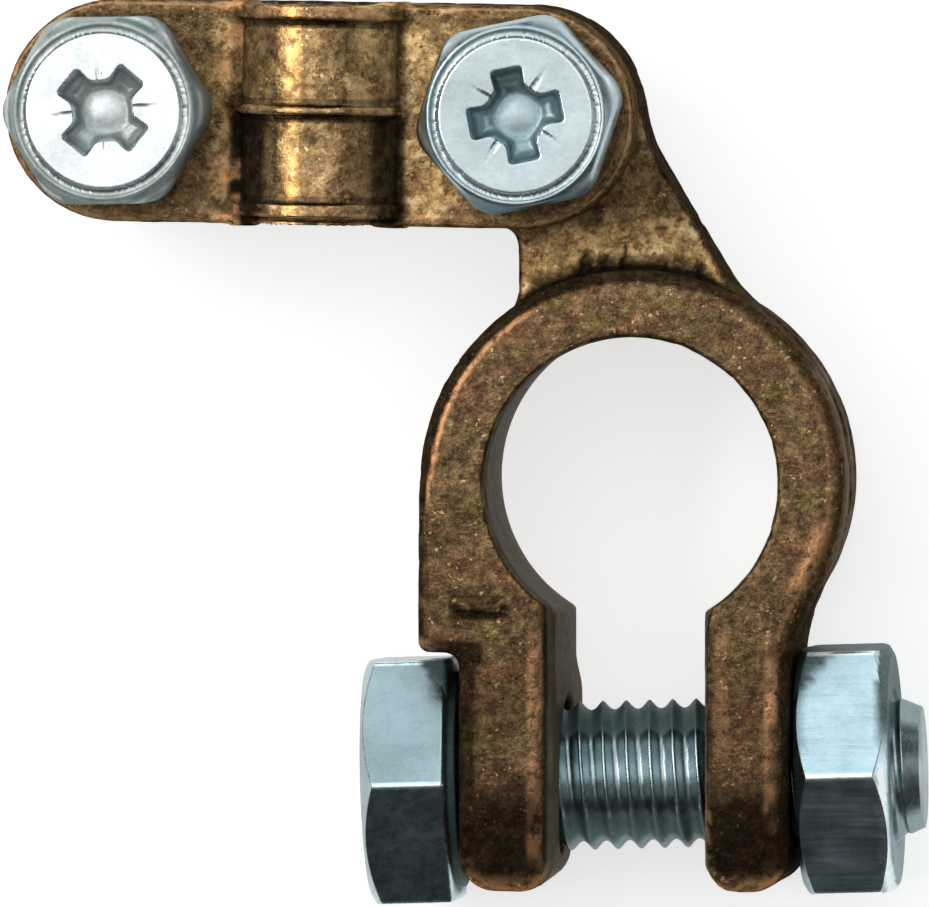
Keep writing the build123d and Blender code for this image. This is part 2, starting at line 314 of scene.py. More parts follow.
def body_zones(p, n):
    x, y, z = p[:, 0], p[:, 1], p[:, 2]
    az = np.degrees(np.arctan2(y, x - RING_CX)) % 360
    tilt = n[:, 2]
    r = np.hypot(x - RING_CX, y)
    outer = r > 9.7
    # copper wear plus a painted highlight along the ring's top fillet, upper left and right, and on the lugs' inner
    # strips
    band = sstep(tilt, 0.84, 0.885) * (1 - sstep(tilt, 0.93, 0.96)) * (z > 12)
    left = sstep(az, 112, 128) * (1 - sstep(az, 176, 192)) * outer
    lug_in = ((x < -3.9) & (x > -6.0) & (y < -7.5) & (y > -19.0)).astype(float)
    lug_out = ((x > 6.0) & (y < -4.0) & (y > -19.5)).astype(float)
    right = (sstep(az, 300, 318) * 0.45 + (az < 60) * 0.25) * outer * (y > -9.0)
    copper_wear_and_highlight = band * np.clip(left * (0.75 + 0.40 * sstep(az, 135, 155)) + right, 0, 1)
    strip = sstep(x, -5.60, -5.35) * (1 - sstep(x, -4.84, -4.70)) * sstep(-y, 7.3, 8.3) * (1 - sstep(-y, 19.6, 20.6))
    strip = np.maximum(strip, (1.0 + 0.7 * sstep(vnoise(p, 0.8, 45), 0.40, 0.60)) * sstep(x, 7.00, 7.25) * (1 - sstep(x, 7.70, 7.90)) * sstep(-y, 7.6, 8.8) * (1 - sstep(-y + 2.0 * vnoise(p, 0.9, 49), 17.6, 19.6)))
    strip = np.maximum(strip, 0.5 * sstep(x, 4.55, 4.75) * (1 - sstep(x, 5.0, 5.4)) * sstep(-y, 7.6, 8.2) * (1 - sstep(-y, 14.0, 17.0)))
    patch = np.exp(-((r - 10.25) / 0.34) ** 2) * sstep(az, 323, 331) * (1 - sstep(az, 344, 351))
    strip = strip * (1 - 0.55 * sstep(-y, 14.0, 16.5)) * (0.55 + 0.75 * sstep(vnoise(p, 0.55, 47), 0.38, 0.62))
    copper_wear_and_highlight = np.maximum(copper_wear_and_highlight, (0.36 * strip + 0.9 * patch) * (z > 13.4))
    # painted shade, darker towards the lugs' ends, and paler again on the very end
    end = sstep(-y, 14.8, 17.8)
    painted_shade = 0.16 * sstep(-y, -2.0, 5.0) + 0.26 * sstep(-y, 7.0, 12.0) + 0.58 * end
    # painted reflection: the lug ends' fillets lighter, with a little copper
    tip = sstep(-n[:, 1], 0.30, 0.65) * sstep(tilt, 0.10, 0.35) * (y < -19.0)
    painted_shade = painted_shade * (1 - 0.75 * sstep(-y, 20.6, 21.4) * (z > 6))
    wall = ((r < 8.7) | ((x > -5.2) & (x < 5.2) & (y < -6.0) & (np.abs(n[:, 0]) > 0.6))) * (1 - sstep(tilt, 0.55, 0.85))
    # painted shade on faces that tilt away from the top, weaker on the far side
    far = (az < 72) * (1 - sstep(az, 48, 72)) + (az > 280) * sstep(x, 4.0, 6.5) * sstep(y, -8.0, -4.0)
    flank = np.where((az > 72) & (az < 235), 1 - sstep(tilt, 0.82, 0.90), 1 - sstep(tilt, 0.62, 0.88)) * (1 - wall)
    amount = np.where((az > 60) & (az < 232), 0.90, 0.80)
    amount = amount * (1 - far) + far * (0.52 + 0.23 * sstep(tilt, 0.40, 0.55))
    painted_shade = np.maximum(painted_shade, flank * amount)
    # painted shade along the rims of the lugs and of the shoulder
    rim = sstep(-x, 8.10, 8.35) * sstep(-y, 9.0, 9.6) * 0.92
    rim = np.maximum(rim, sstep(-x, 10.62, 10.85) * (y < -1.0) * 0.60)
    rim = np.maximum(rim, sstep(x, -4.74, -4.62) * (x < 0) * sstep(-y, 6.6, 7.4) * 0.85)
    rim = np.maximum(rim, (1 - sstep(x, 4.30, 4.60)) * (x > 0) * sstep(-y, 7.0, 7.6) * 0.72)
    rim = np.maximum(rim, sstep(x, 7.85, 8.05) * sstep(-y, 7.6, 9.2) * 0.88)
    rim = np.maximum(rim, sstep(-y, 8.20, 8.50) * (y > -9.6) * (x < -8.0) * sstep(x, -10.9, -10.5) * 0.92)
    painted_shade = np.maximum(painted_shade, rim * (1 - wall))
    painted_shade = painted_shade * (1 - 0.88 * tip)
    # painted shadow round the bolt on the lug walls
    across = -x * AX[1] + (y - BOLT_Y0) * AX[0]
    painted_shade = np.where((np.hypot(across, z - BOLT_Z) < 4.45) & (y < -8.0), 1.0, painted_shade)
    copper_wear_and_highlight = np.maximum(copper_wear_and_highlight, 0.32 * tip)
    # painted sheen: the far side's steep walls paler
    painted_sheen = 0.22 * far * (1 - sstep(y, 5.5, 7.5)) * (1 - wall) * (1 - sstep(tilt, 0.30, 0.50)) * sstep(z, 2.0, 6.0) * (1 - sstep(vnoise(p, 1.9, 71), 0.55, 0.70) * 0.8)
    # painted shadow on the arm under the cap
    painted_shade = np.maximum(painted_shade, sstep(y, 11.5, 13.2) * (1 - sstep(z, 11.3, 11.6)) * 0.35)
    # painted highlight: a light line round the bore's top edge, strongest on the left
    bore_edge_highlight = sstep(tilt, 0.72, 0.86) * (1 - sstep(tilt, 0.95, 0.985)) * (r < 8.5) * (0.35 + 0.65 * sstep(az, 110, 140) * (1 - sstep(az, 225, 245)))
    mx, my = x + 8.13, y + 6.55
    on_mark = (np.abs(mx) < 1.6) & (np.abs(my) < 0.60) & (z > 14.3)
    # painted highlight on the minus bar's upper side, painted shade on its lower side and top
    mark_highlight = on_mark * sstep(n[:, 1], -0.05, 0.35)
    mark_shade = on_mark * np.maximum(sstep(-n[:, 1], 0.10, 0.40), 0.75 * (z > 14.9) * (1 - sstep(np.abs(n[:, 1]), 0.05, 0.30)))
    g = gold_zone(p)
    # the short cracks in the arm along the ring
    short = 0 * x
    wob = 0.30 * (vnoise(p, 0.7, 97) - 0.5)
    for cx, y0, y1, lean in ((-3.12, 11.0, 12.55, 0.20), (-2.64, 11.3, 12.05, -0.10), (-1.78, 11.3, 12.35, 0.15), (-0.70, 11.4, 12.95, 0.05), (1.55, 11.3, 12.0, 0.0), (3.38, 10.9, 12.1, -0.10)):
        d = np.abs(x - cx - lean * (y - y0) + wob)
        short = np.maximum(short, (1 - sstep(d, 0.09, 0.25)) * sstep(y, y0 - 0.1, y0) * (1 - sstep(y, y1 - 0.3, y1)))
    short = short * (z > 10.0) * (z < 12.0)
    return {"gold": np.maximum(g, 0.25 * sstep(y, 9.5, 12.0) * sstep(z, 10.2, 10.9)), "copper_wear_and_highlight": copper_wear_and_highlight, "painted_shade": np.clip(np.maximum(painted_shade, mark_shade), 0, 1),
            "crack": np.maximum(np.clip(g * 1.4, 0, 1) * crack_lines(p, 1.5, 0.026, 61), short), "painted_highlight": 0.55 * mark_highlight + 0.45 * bore_edge_highlight, "smooth": wall,
            "wall": wall, "painted_sheen": painted_sheen, "matte": np.maximum(0.85 * sstep(painted_shade, 0.45, 0.9), np.maximum(0.70 * wall, 0.22 * g))}


def cap_zones(p, n):
    sx, sy = saddle_xy(p)
    ax = sx - ARCH_DX
    tilt = n[:, 2]
    plate = capsule2(sx, sy, 10.905, 6.0)
    # wear plus a painted highlight along the plate's rim
    copper_wear_and_highlight = 0.55 * sstep(tilt, 0.72, 0.82) * (1 - sstep(tilt, 0.93, 0.98)) * sstep(plate, -0.8, -0.6)
    on_arch = 1 - sstep(np.abs(ax), 3.9, 4.3)
    valley = (1 - sstep(np.abs(ax), 4.5, 5.0))
    # painted shade on the arch's sides and in the valleys beside it, mostly on the lower half
    painted_shade = np.where(ax < 0, sstep(-ax, 2.2, 2.9), 0.85 * sstep(ax, 2.7, 3.3))
    painted_shade = np.where(sy < 0, painted_shade, 0.30 * sstep(-ax, 3.0, 3.6)) * valley
    # painted shade on the plate's lower right, and a slight one on its left
    lower = sstep(sx, 7.0, 10.0) * sstep(-sy, -1.0, 2.5)
    painted_shade = np.maximum(painted_shade, 0.35 * lower)
    painted_shade = np.maximum(painted_shade, 0.10 * (sx < 0) * (1 - on_arch))
    patch = (1 - on_arch) * (sx < 0) * (1 - sstep(-sx, 4.6, 6.0)) * sstep(np.abs(sy + 0.2), 1.6, 2.8) * sstep(vnoise(p, 0.9, 57), 0.30, 0.55)
    copper_wear_and_highlight = np.maximum(copper_wear_and_highlight, patch)
    # painted shade on the steep flanks
    flank = (1 - sstep(tilt, 0.35, 0.75)) * (np.abs(ax) > 5.0)
    painted_shade = np.maximum(painted_shade, 0.6 * flank)
    wob = 0.18 * (vnoise(p, 0.8, 91) - 0.5)
    # painted highlight along the arch's crown, off the middle; the brass patch also takes this colour
    painted_highlight = 0.6 * patch + on_arch * np.exp(-((ax + 1.16 + wob) / 0.40) ** 2) * np.where(sy > 0, 1.0, 0.70)
    # on the arch the gold is raised on the upper right side, painted light
    return {"gold": np.clip(gold_zone(p) * (1 - on_arch) + on_arch * (0.35 + 0.45 * (sy > 0) * sstep(ax, 1.2, 2.4)), 0, 1), "copper_wear_and_highlight": copper_wear_and_highlight, "painted_shade": painted_shade,
            "crack": np.clip(gold_zone(p) * 1.4, 0, 1) * crack_lines(p, 1.5, 0.014, 12), "painted_highlight": painted_highlight, "smooth": on_arch,
            "wall": 0 * sx, "painted_sheen": 0 * sx, "matte": np.maximum(np.maximum(on_arch * 0.65 * sstep(np.abs(ax), 1.7, 2.9), 0.85 * flank),
                                                         (1 - on_arch) * (1 - flank) * np.maximum(0.28 * gold_zone(p), 0.6 * patch))}


# ------------------------------------------------------------------ meshes
def gradient(f, p, h=0.02):
    g = np.empty_like(p)
    for c in range(3):
        q = p.copy(); q[:, c] += h
        a = f(q)
        q[:, c] -= 2 * h
        g[:, c] = (a - f(q)) / (2 * h)
    return g


def project(f, p, rounds, cap=0.25):
    for _ in range(rounds):
        g = gradient(f, p)
        n = np.maximum(np.linalg.norm(g, axis=1), 0.35)
        p = p - g / n[:, None] * np.clip(f(p) / n, -cap, cap)[:, None]
    return p


def relax(p, e, k):
    n = len(p)
    deg = np.maximum(np.bincount(e.ravel(), minlength=n), 1)
    s = np.empty_like(p)
    for c in range(3):
        s[:, c] = np.bincount(e[:, 0], p[e[:, 1], c], n) + np.bincount(e[:, 1], p[e[:, 0], c], n)
    return p + k * (s / deg[:, None] - p)


def voxel_mesh(node, voxel, cut_z=None):
    """A fine even mesh of the CAD node, in mm, to be fitted to its distance field."""
    me = NODES[node].data.copy()
    me.materials.clear()
    if cut_z is not None:
        bm = bmesh.new(); bm.from_mesh(me)
        bmesh.ops.remove_doubles(bm, verts=bm.verts, dist=1e-7)
        r = bmesh.ops.bisect_plane(bm, geom=bm.verts[:] + bm.edges[:] + bm.faces[:], dist=1e-9,
                                   plane_co=(0, 0, cut_z * MM), plane_no=(0, 0, -1), clear_outer=True)
        edges = [g for g in r["geom_cut"] if isinstance(g, bmesh.types.BMEdge)]
        bmesh.ops.contextual_create(bm, geom=edges)
        bm.to_mesh(me); bm.free()
    ob = bpy.data.objects.new("tmp_" + node, me)
    scene.collection.objects.link(ob)
    m = ob.modifiers.new("r", "REMESH")
    m.mode = "VOXEL"; m.voxel_size = voxel * MM; m.adaptivity = 0
    dg = bpy.context.evaluated_depsgraph_get()
    new = bpy.data.meshes.new_from_object(ob.evaluated_get(dg))
    bpy.data.objects.remove(ob)
    return new


def coords(me):
    co = np.empty(len(me.vertices) * 3)
    me.vertices.foreach_get("co", co)
    return co.reshape(-1, 3) / MM


def set_coords(me, p):
    me.vertices.foreach_set("co", (p * MM).astype(np.float32).ravel())
    me.update()


def put(me, name, values):
    a = me.attributes.get(name) or me.attributes.new(name, "FLOAT", "POINT")
    a.data.foreach_set("value", np.asarray(values, np.float32))


def field_mesh(node, name, voxel, shape, rough, cut_z=None, h_edge=0.45, zones=None):
    me = voxel_mesh(node, voxel, cut_z)
    me.name = name
    e = np.empty(len(me.edges) * 2, np.int64)
    me.edges.foreach_get("vertices", e)
    e = e.reshape(-1, 2)
    p = coords(me)
    p = project(shape, p, 4)
    for _ in range(3):
        p = project(shape, relax(p, e, 0.5), 2)
    g = gradient(shape, p)
    n = g / np.maximum(np.linalg.norm(g, axis=1), 1e-6)[:, None]
    # curvature of the smooth shape, for wear on edges and painted shade in corners
    lap = -6 * shape(p)
    for c in range(3):
        for s in (-1, 1):
            q = p.copy(); q[:, c] += s * h_edge
            lap += shape(q)
    lap /= h_edge ** 2
    if rough is not None:
        r = rough(p)
        p = p - n * r[:, None]
        put(me, "skin", r)
    if zones is not None:
        for key, vals in zones(p, n).items():
            put(me, key, vals)
    set_coords(me, p)
    lap = relax(lap[:, None].repeat(3, 1), e, 0.6)[:, 0]
    put(me, "curve", lap)
    me.polygons.foreach_set("use_smooth", np.ones(len(me.polygons), bool))
    return me


def grid_mesh(name, rings, close_start=True, close_end=True, wrap=True):
    """Rings of equal length, mm, joined by quads; poles close the ends."""
    rings = [np.asarray(r, float) for r in rings]
    n = len(rings[0])
    verts = np.concatenate(rings)
    faces = []
    m = len(rings)
    for i in range(m - 1):
        a, b = i * n, (i + 1) * n
        for k in range(n if wrap else n - 1):
            k2 = (k + 1) % n
            faces.append((a + k, a + k2, b + k2, b + k))
    extra = []
    base = len(verts)
    if close_start:
        extra.append(rings[0].mean(0)); c = base + len(extra) - 1
        faces += [(c, (k + 1) % n, k) for k in range(n)]
    if close_end:
        extra.append(rings[-1].mean(0)); c = base + len(extra) - 1
        o = (m - 1) * n
        faces += [(c, o + k, o + (k + 1) % n) for k in range(n)]
    if extra:
        verts = np.concatenate([verts, np.array(extra)])
    me = bpy.data.meshes.new(name)
    me.from_pydata((verts * MM).tolist(), [], faces)
    me.update()
    me.polygons.foreach_set("use_smooth", np.ones(len(me.polygons), bool))
    return me


def tube_mesh(name, rings):
    """Closed ring of rings, for a body with a hole through it."""
    n, m = len(rings[0]), len(rings)
    verts = np.concatenate([np.asarray(r, float) for r in rings])
    faces = []
    for i in range(m):
        a, b = i * n, ((i + 1) % m) * n
        for k in range(n):
            k2 = (k + 1) % n
            faces.append((a + k, a + k2, b + k2, b + k))
    me = bpy.data.meshes.new(name)
    me.from_pydata((verts * MM).tolist(), [], faces)
    me.update()
    me.polygons.foreach_set("use_smooth", np.ones(len(me.polygons), bool))
    return me


def hex_outline(af, rho, turn, n_flat=26, n_arc=7):
    pts = []
    ri = (af / 2 - rho) / math.cos(math.pi / 6)
    for k in range(6):
        a0 = math.radians(60 * k + turn)
        c = np.array([math.cos(a0), math.sin(a0)]) * ri
        arc = [a0 + math.radians(-30 + 60 * j / (n_arc - 1)) for j in range(n_arc)]
        arc_pts = [c + rho * np.array([math.cos(a), math.sin(a)]) for a in arc]
        pts += arc_pts
        a1 = math.radians(60 * (k + 1) + turn)
        c1 = np.array([math.cos(a1), math.sin(a1)]) * ri
        b = c1 + rho * np.array([math.cos(a1 - math.radians(30)), math.sin(a1 - math.radians(30))])
        e = arc_pts[-1]
        for j in range(1, n_flat + 1):
            t = j / (n_flat + 1)
            t = 0.5 - 0.5 * math.cos(math.pi * t) * (0.55 + 0.45 * abs(math.cos(math.pi * t)))
            pts.append(e + (b - e) * t)
    return np.array(pts)


def ring_at(outline, scale_or_r, z, mode="frac", r0=0.0):
    """A ring between the circle of radius r0 and the outline; mode circle: a plain circle of that radius."""
    n = np.linalg.norm(outline, axis=1)
    u = outline / n[:, None]
    r = np.full(len(n), scale_or_r) if mode == "circle" else r0 + (n - r0) * scale_or_r
    zz = z(r) if callable(z) else np.full(len(n), float(z))
    return np.column_stack([u * r[:, None], zz])


def on_bolt(p):
    """Local (x, y, z along the axis) to the bolt's place. Local x points up, as the CAD turns it."""
    o = np.array([0.0, BOLT_Y0, BOLT_Z])
    return o + p[:, 2:3] * AX + p[:, 1:2] * BY - p[:, 0:1] * BZ


T30 = math.tan(math.radians(30))


def end_rings(outline, h, r_f, sign, soft=0.05):
    """Rings of a chamfered hexagon end from the flat face's rim to the side, for an end at height h facing sign."""
    out = []
    cz = lambda r: h - sign * np.maximum(r - r_f, 0) * T30
    for f in (0.0, 0.12, 0.35, 0.6, 0.82, 0.94):
        out.append(ring_at(outline, f, cz, r0=r_f))
    out.append(ring_at(outline, 0.985, lambda r: cz(r) - sign * 0.012, r0=r_f))
    n = np.linalg.norm(outline, axis=1)
    edge = cz(n)
    out.append(np.column_stack([outline * (1 - 0.004 / n[:, None]), edge - sign * soft]))
    out.append(np.column_stack([outline, edge - sign * (soft + 0.07)]))
    return out, edge


def side_rings(outline, z0, z1, k=7):
    return [np.column_stack([outline, z0 + (z1 - z0) * j / (k + 1)]) for j in range(1, k + 1)]


def thread_rings(r_major, pitch, depth, s0, s1, tip_r, phase, n=96, per=20, taper=1.0):
    th = np.arange(n) * 2 * math.pi / n
    m = max(int((s1 - s0) / pitch * per), 4)
    rings = []
    for j in range(m + 1):
        s = s0 + (s1 - s0) * j / m
        a = np.abs(((s / pitch - th / (2 * math.pi) + phase) % 1.0) - 0.5) * pitch
        dep = np.sqrt((depth * np.sin(math.pi * a / pitch)) ** 2 + 0.15 ** 2) - 0.15
        r = r_major - dep
        lim = tip_r + (s1 - s) * taper
        r = np.minimum(r, lim)
        fade = sstep(np.array([s - s0]), 0.0, pitch)[0]
        r = r * fade + (1 - fade) * (r_major - depth)
        rings.append(np.column_stack([r * np.cos(th), r * np.sin(th), np.full(n, s)]))
    return rings


def make(name, me, body, node, material):
    ob = bpy.data.objects.new(name, me)
    scene.collection.objects.link(ob)
    me.materials.clear()
    me.materials.append(material)
    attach(ob, body)
    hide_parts(node)
    return ob


def joined(name, meshes):
    bm = bmesh.new()
    for m in meshes:
        bm.from_mesh(m)
    bmesh.ops.recalc_face_normals(bm, faces=bm.faces)
    me = bpy.data.meshes.new(name)
    bm.to_mesh(me); bm.free()
    me.polygons.foreach_set("use_smooth", np.ones(len(me.polygons), bool))
    return me


# ------------------------------------------------------------------ materials
class Nodes:
    def __init__(self, name):
        self.mat = bpy.data.materials.new(name)
        self.mat.use_nodes = True
        self.t = self.mat.node_tree
        self.t.nodes.clear()
        self.out = self.add("ShaderNodeOutputMaterial")
        self.bsdf = self.add("ShaderNodeBsdfPrincipled")
        self.t.links.new(self.bsdf.outputs[0], self.out.inputs[0])
        tc = self.add("ShaderNodeTexCoord")
        self.pos = self.vmul(tc.outputs["Object"], (1000, 1000, 1000))

    def add(self, kind, **kw):
        n = self.t.nodes.new(kind)
        for k, v in kw.items():
            setattr(n, k, v)
        return n

    def link(self, a, b):
        self.t.links.new(a, b)

    def val(self, sock, v):
        if isinstance(v, bpy.types.NodeSocket):
            self.link(v, sock)
        else:
            sock.default_value = v

    def vmul(self, a, v):
        n = self.add("ShaderNodeVectorMath", operation="MULTIPLY")
        self.val(n.inputs[0], a); self.val(n.inputs[1], v)
        return n.outputs[0]

    def times(self, a, v):
        n = self.add("ShaderNodeMix", data_type="RGBA", blend_type="MULTIPLY")
        n.inputs[0].default_value = 1.0
        self.val(n.inputs[6], a)
        self.val(n.inputs[7], v if isinstance(v, bpy.types.NodeSocket) else (*v, 1))
        return n.outputs[2]

    def math(self, op, a, b=0.0, clamp=False):
        n = self.add("ShaderNodeMath", operation=op)
        n.use_clamp = clamp
        self.val(n.inputs[0], a); self.val(n.inputs[1], b)
        return n.outputs[0]

    def noise(self, scale, detail=4, rough=0.5, vec=None, dist=0.0):
        n = self.add("ShaderNodeTexNoise")
        self.link(vec or self.pos, n.inputs["Vector"])
        n.inputs["Scale"].default_value = scale
        n.inputs["Detail"].default_value = detail
        n.inputs["Roughness"].default_value = rough
        n.inputs["Distortion"].default_value = dist
        return n.outputs["Fac"]

    def voronoi(self, scale, vec=None, feature="F1"):
        n = self.add("ShaderNodeTexVoronoi", feature=feature)
        self.link(vec or self.pos, n.inputs["Vector"])
        n.inputs["Scale"].default_value = scale
        return n.outputs["Distance"]

    def remap(self, v, a, b, c=0.0, d=1.0):
        n = self.add("ShaderNodeMapRange", interpolation_type="SMOOTHSTEP")
        self.link(v, n.inputs["Value"])
        for k, x in zip(("From Min", "From Max", "To Min", "To Max"), (a, b, c, d)):
            n.inputs[k].default_value = x
        return n.outputs["Result"]

    def attr(self, name):
        n = self.add("ShaderNodeAttribute", attribute_name=name)
        return n.outputs["Fac"]

    def mix(self, fac, a, b):
        n = self.add("ShaderNodeMix", data_type="RGBA")
        self.val(n.inputs[0], fac)
        self.val(n.inputs[6], a if isinstance(a, bpy.types.NodeSocket) else (*a, 1))
        self.val(n.inputs[7], b if isinstance(b, bpy.types.NodeSocket) else (*b, 1))
        return n.outputs[2]

    def cells(self, scale, jitter):
        """A value that steps from one ragged facet to the next."""
        n = self.add("ShaderNodeTexNoise")
        self.link(self.pos, n.inputs["Vector"])
        n.inputs["Scale"].default_value = 1.6
        n.inputs["Detail"].default_value = 3
        a = self.add("ShaderNodeVectorMath", operation="ADD")
        self.link(self.pos, a.inputs[0])
        self.link(self.vmul(n.outputs["Color"], (jitter,) * 3), a.inputs[1])
        v = self.add("ShaderNodeTexVoronoi", feature="F1")
        self.link(a.outputs[0], v.inputs["Vector"])
        v.inputs["Scale"].default_value = scale
        return self.sep(v.outputs["Color"])[0]

    def ramp(self, v, stops):
        n = self.add("ShaderNodeValToRGB")
        self.link(v, n.inputs[0])
        cr = n.color_ramp
        while len(cr.elements) > 1:
            cr.elements.remove(cr.elements[-1])
        cr.elements[0].position = stops[0][0]
        cr.elements[0].color = (*stops[0][1], 1)
        for pos, col in stops[1:]:
            e = cr.elements.new(pos)
            e.color = (*col, 1)
        return n.outputs[0]

    def sep(self, v=None):
        n = self.add("ShaderNodeSeparateXYZ")
        self.link(v or self.pos, n.inputs[0])
        return n.outputs

    def bump(self, height, strength, dist, normal=None):
        n = self.add("ShaderNodeBump")
        n.inputs["Strength"].default_value = strength
        n.inputs["Distance"].default_value = dist
        self.link(height, n.inputs["Height"])
        if normal:
            self.link(normal, n.inputs["Normal"])
        return n.outputs[0]


def cast_material(name, corner_shade_amount=0.80):
    m = Nodes(name)
    gold, copper_wear_and_highlight, painted_shade, curve = m.attr("gold"), m.attr("copper_wear_and_highlight"), m.attr("painted_shade"), m.attr("curve")
    big = m.noise(0.15, 3, 0.5)
    mid = m.noise(0.70, 5, 0.6)
    fine = m.noise(2.1, 6, 0.7)
    grain = m.noise(6.5, 4, 0.65)
    tone = m.math("ADD", m.math("MULTIPLY", mid, 0.22), m.math("ADD", m.math("MULTIPLY", fine, 0.44), m.math("MULTIPLY", grain, 0.34)))
    raw = tone
    cell = m.cells(1.9, 1.1)
    tone = m.remap(m.math("ADD", m.math("MULTIPLY", raw, 0.96), m.math("MULTIPLY", cell, 0.04)), 0.30, 0.70)
    lump = m.noise(1.15, 4, 0.6)
    tone_g = m.remap(m.math("ADD", m.math("MULTIPLY", lump, 0.30), m.math("ADD", m.math("MULTIPLY", raw, 0.58), m.math("MULTIPLY", cell, 0.12))), 0.33, 0.67)
    base = m.ramp(tone, [(0.0, (0.030, 0.020, 0.013)), (0.28, (0.095, 0.060, 0.034)), (0.50, (0.163, 0.105, 0.054)),
                         (0.74, (0.26, 0.172, 0.086)), (1.0, (0.50, 0.34, 0.17))])
    hue = m.noise(0.42, 3, 0.5, m.vmul(m.pos, (1.0, 1.3, 0.8)))
    tint = m.ramp(hue, [(0.34, (0.93, 1.02, 0.78)), (0.48, (1.0, 1.0, 1.0)), (0.62, (1.12, 0.96, 0.95))])
    base = m.times(base, tint)
    golden = m.ramp(tone_g, [(0.0, (0.120, 0.070, 0.030)), (0.25, (0.32, 0.190, 0.078)), (0.50, (0.60, 0.375, 0.155)),
                           (0.74, (0.90, 0.61, 0.28)), (1.0, (1.0, 0.83, 0.50))])
    g = m.math("MULTIPLY", gold, m.remap(m.noise(0.55, 3, 0.5), 0.34, 0.58, 0.35, 1.0))
    col = m.mix(g, base, golden)
    col = m.mix(m.attr("crack"), col, (0.012, 0.009, 0.006))
    # painted highlight on the arch's crown, the bore's edge and the minus bar
    painted_highlight = m.math("MULTIPLY", m.attr("painted_highlight"), m.remap(m.noise(1.5, 4, 0.65), 0.40, 0.56, 0.10, 1.0))
    col = m.mix(painted_highlight, col, (0.80, 0.46, 0.155))
    # bright specks where the skin is rubbed through
    speck = m.math("MULTIPLY", m.remap(m.noise(3.6, 2, 0.5), 0.635, 0.69), m.remap(m.noise(0.8, 2, 0.5), 0.46, 0.60))
    col = m.mix(m.math("MULTIPLY", speck, 0.8), col, (0.80, 0.55, 0.30))
    # painted shade
    col = m.mix(painted_shade, col, m.times(col, (0.115, 0.112, 0.122)))
    wall = m.attr("wall")
    plain = m.ramp(raw, [(0.36, (0.105, 0.093, 0.066)), (0.5, (0.145, 0.129, 0.094)), (0.64, (0.190, 0.168, 0.124))])
    col = m.mix(m.math("MULTIPLY", wall, 0.9), col, plain)
    # painted sheen on the far side's steep walls
    col = m.mix(m.math("MULTIPLY", m.attr("painted_sheen"), 0.75), col, (0.27, 0.25, 0.225))
    # copper wear and painted highlight
    wear_and_highlight = m.math("MULTIPLY", copper_wear_and_highlight, m.remap(m.noise(1.7, 5, 0.7), 0.34, 0.52))
    col = m.mix(m.math("MULTIPLY", wear_and_highlight, 0.85), col, (0.92, 0.47, 0.235))
    # painted shade in concave corners
    corner_shade = m.remap(curve, -0.25, -1.30)
    col = m.mix(m.math("MULTIPLY", corner_shade, corner_shade_amount), col, (0.010, 0.008, 0.006))
    crest = m.math("MULTIPLY", m.remap(curve, 0.7, 2.2), m.remap(m.noise(1.1, 3, 0.6), 0.48, 0.66))
    col = m.mix(m.math("MULTIPLY", crest, 0.45), col, (0.55, 0.36, 0.19))
    m.link(col, m.bsdf.inputs["Base Color"])
    m.link(m.math("SUBTRACT", 1.0, m.attr("matte"), clamp=True), m.bsdf.inputs["Metallic"])
    m.bsdf.inputs["Specular IOR Level"].default_value = 0.0
    painted_sheen = m.attr("painted_sheen")
    m.link(m.mix(painted_sheen, (0.22, 0.20, 0.17), (1.0, 1.0, 1.0)), m.bsdf.inputs["Specular Tint"])
    rough = m.math("ADD", m.remap(fine, 0.35, 0.65, 0.50, 0.34), m.math("MULTIPLY", wear_and_highlight, -0.08))
    smooth = m.attr("smooth")
    rough = m.math("MULTIPLY", rough, m.remap(smooth, 0.0, 1.0, 1.0, 0.60))
    m.link(rough, m.bsdf.inputs["Roughness"])
    h = m.math("ADD", m.math("MULTIPLY", fine, 0.55), m.math("ADD", m.math("MULTIPLY", grain, 0.25), m.math("MULTIPLY", mid, 0.5)))
    h = m.math("ADD", h, m.math("MULTIPLY", m.math("MULTIPLY", cell, gold), 0.25))
    h = m.math("MULTIPLY", h, m.remap(smooth, 0.0, 1.0, 1.0, 0.35))
    h = m.math("MULTIPLY", h, m.remap(wall, 0.0, 1.0, 1.0, 0.2))
    m.link(m.bump(h, 0.9, 0.00020), m.bsdf.inputs["Normal"])
    return m.mat


